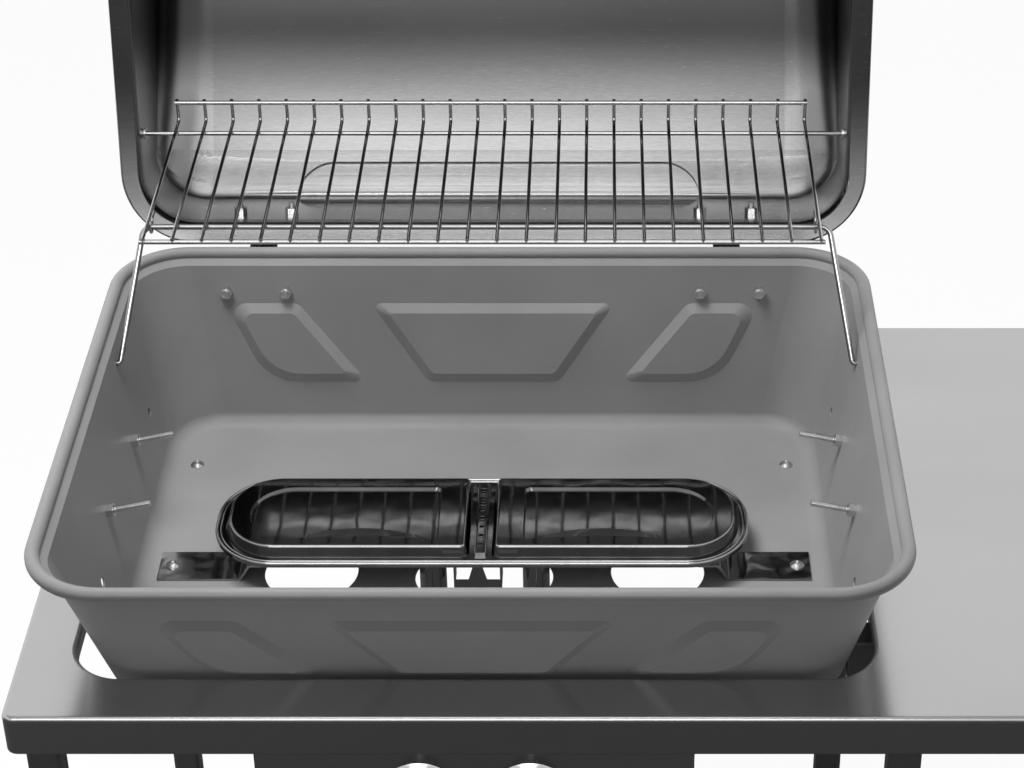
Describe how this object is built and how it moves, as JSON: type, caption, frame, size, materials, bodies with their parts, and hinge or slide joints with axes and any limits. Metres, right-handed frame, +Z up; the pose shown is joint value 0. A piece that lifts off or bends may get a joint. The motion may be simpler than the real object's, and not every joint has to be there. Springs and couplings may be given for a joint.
{
  "type": "gas grill",
  "caption": "Cart gas grill with an open drawn lid, a grey firebox, a polished twin-lobe burner, a linked wire warming rack and a stainless deck with a side wing.",
  "frame": {"origin": "on the floor, midway along the deck and midway between the wheels' front caps and the back of the open lid", "axes": "+X right along the deck as seen by the cook, +Y to the back, +Z up"},
  "size_m": [0.8856, 0.8555, 1.3971],
  "materials": {
    "grey_paint": "satin grey high-temperature paint",
    "frame_paint": "dark grey powder coat",
    "brushed_stainless": "stainless sheet brushed left to right",
    "polished_stainless": "bright polished stainless",
    "chrome_wire": "bright chrome plated wire",
    "zinc": "zinc plated steel",
    "cast_aluminium": "die cast, as cast",
    "brass": "machined brass",
    "black_plastic": "black glass-filled plastic",
    "button_plastic": "black gloss plastic",
    "black_rubber": "black rubber",
    "white_ceramic": "glazed white ceramic"
  },
  "bodies": {
    "cart": {"firebox": "grey_paint", "deck": "brushed_stainless", "burner_bracket_left": "polished_stainless", "venturi_left": "polished_stainless", "gas_valve_left": "cast_aluminium", "leg_frame_left": "frame_paint", "firebox_support_left": "frame_paint", "burner_bracket_right": "polished_stainless", "venturi_right": "polished_stainless", "gas_valve_right": "cast_aluminium", "leg_frame_right": "frame_paint", "firebox_support_right": "frame_paint", "hinge_leaves_lower": "zinc", "hinge_pins": "zinc", "hinge_bolts_lower": "zinc", "hinge_nuts_lower": "zinc", "side_bolts": "zinc", "side_bolt_nuts": "zinc", "floor_screws": "zinc", "burner_top": "polished_stainless", "burner_pan": "polished_stainless", "burner_port_strip": "polished_stainless", "igniter_collector": "polished_stainless", "igniter_electrode": "white_ceramic", "gas_manifold": "frame_paint", "gas_orifices": "brass", "gas_inlet": "brass", "control_panel": "brushed_stainless", "knob_bezels": "brushed_stainless", "igniter_body": "black_plastic", "cross_rails": "frame_paint", "bottom_shelf": "frame_paint", "shelf_bolts": "zinc", "wing_beams": "frame_paint", "wheel_axle": "zinc", "axle_caps": "black_plastic", "foot_caps": "black_plastic"},
    "lid": {"lid_shell": "brushed_stainless", "lid_handle": "brushed_stainless", "handle_posts": "zinc", "hinge_leaves_upper": "zinc", "hinge_bolts_upper": "zinc", "hinge_nuts_upper": "zinc"},
    "rack": {"warming_rack": "chrome_wire", "rack_rod": "chrome_wire", "rack_push_nuts": "zinc"},
    "bail": {"rack_bail": "chrome_wire"},
    "valve_plug_left": {"valve_plug_left": "brass"},
    "knob_left": {"knob_left": "black_plastic", "valve_stem_left": "zinc"},
    "valve_plug_right": {"valve_plug_right": "brass"},
    "knob_right": {"knob_right": "black_plastic", "valve_stem_right": "zinc"},
    "igniter_button": {"igniter_button": "button_plastic"},
    "wheel_front": {"wheel_hub_front": "black_plastic", "wheel_tyre_front": "black_rubber"},
    "wheel_rear": {"wheel_hub_rear": "black_plastic", "wheel_tyre_rear": "black_rubber"}
  },
  "joints": [
    {"name": "lid_hinge", "type": "hinge", "parent": "cart", "child": "lid", "pos_m": [-0.09825, 0.10575, 0.886], "axis": [1, 0, 0], "range_deg": [0, 102]},
    {"name": "rack_pivot", "type": "hinge", "parent": "lid", "child": "rack", "pos_m": [-0.09825, 0.16935, 0.9795], "axis": [1, 0, 0], "range_deg": [-102, 0]},
    {"name": "bail_pivot", "type": "hinge", "parent": "cart", "child": "bail", "pos_m": [-0.09825, -0.05835, 0.8851], "axis": [1, 0, 0], "range_deg": [0, 102]},
    {"name": "knob_left_turn", "type": "hinge", "parent": "cart", "child": "valve_plug_left", "pos_m": [-0.14025, -0.40125, 0.71], "axis": [0, -1, 0], "range_deg": [0, 180]},
    {"name": "knob_left_push", "type": "slide", "parent": "valve_plug_left", "child": "knob_left", "axis": [0, 1, 0], "range_m": [0, 0.003], "stiffness_N_per_m": 1500},
    {"name": "knob_right_turn", "type": "hinge", "parent": "cart", "child": "valve_plug_right", "pos_m": [-0.05625, -0.40125, 0.71], "axis": [0, -1, 0], "range_deg": [0, 180]},
    {"name": "knob_right_push", "type": "slide", "parent": "valve_plug_right", "child": "knob_right", "axis": [0, 1, 0], "range_m": [0, 0.003], "stiffness_N_per_m": 1500},
    {"name": "igniter_push", "type": "slide", "parent": "cart", "child": "igniter_button", "axis": [0, 1, 0], "range_m": [0, 0.006], "stiffness_N_per_m": 900},
    {"name": "wheel_front_roll", "type": "hinge", "parent": "cart", "child": "wheel_front", "pos_m": [0.22475, -0.40375, 0.075], "axis": [0, 1, 0], "continuous": true},
    {"name": "wheel_rear_roll", "type": "hinge", "parent": "cart", "child": "wheel_rear", "pos_m": [0.22475, 0.13125, 0.075], "axis": [0, 1, 0], "continuous": true}
  ],
  "couplings": [
    {"joint": "rack_pivot", "follows": "lid_hinge", "ratio": -1},
    {"joint": "bail_pivot", "follows": "lid_hinge", "ratio": 1}
  ]
}
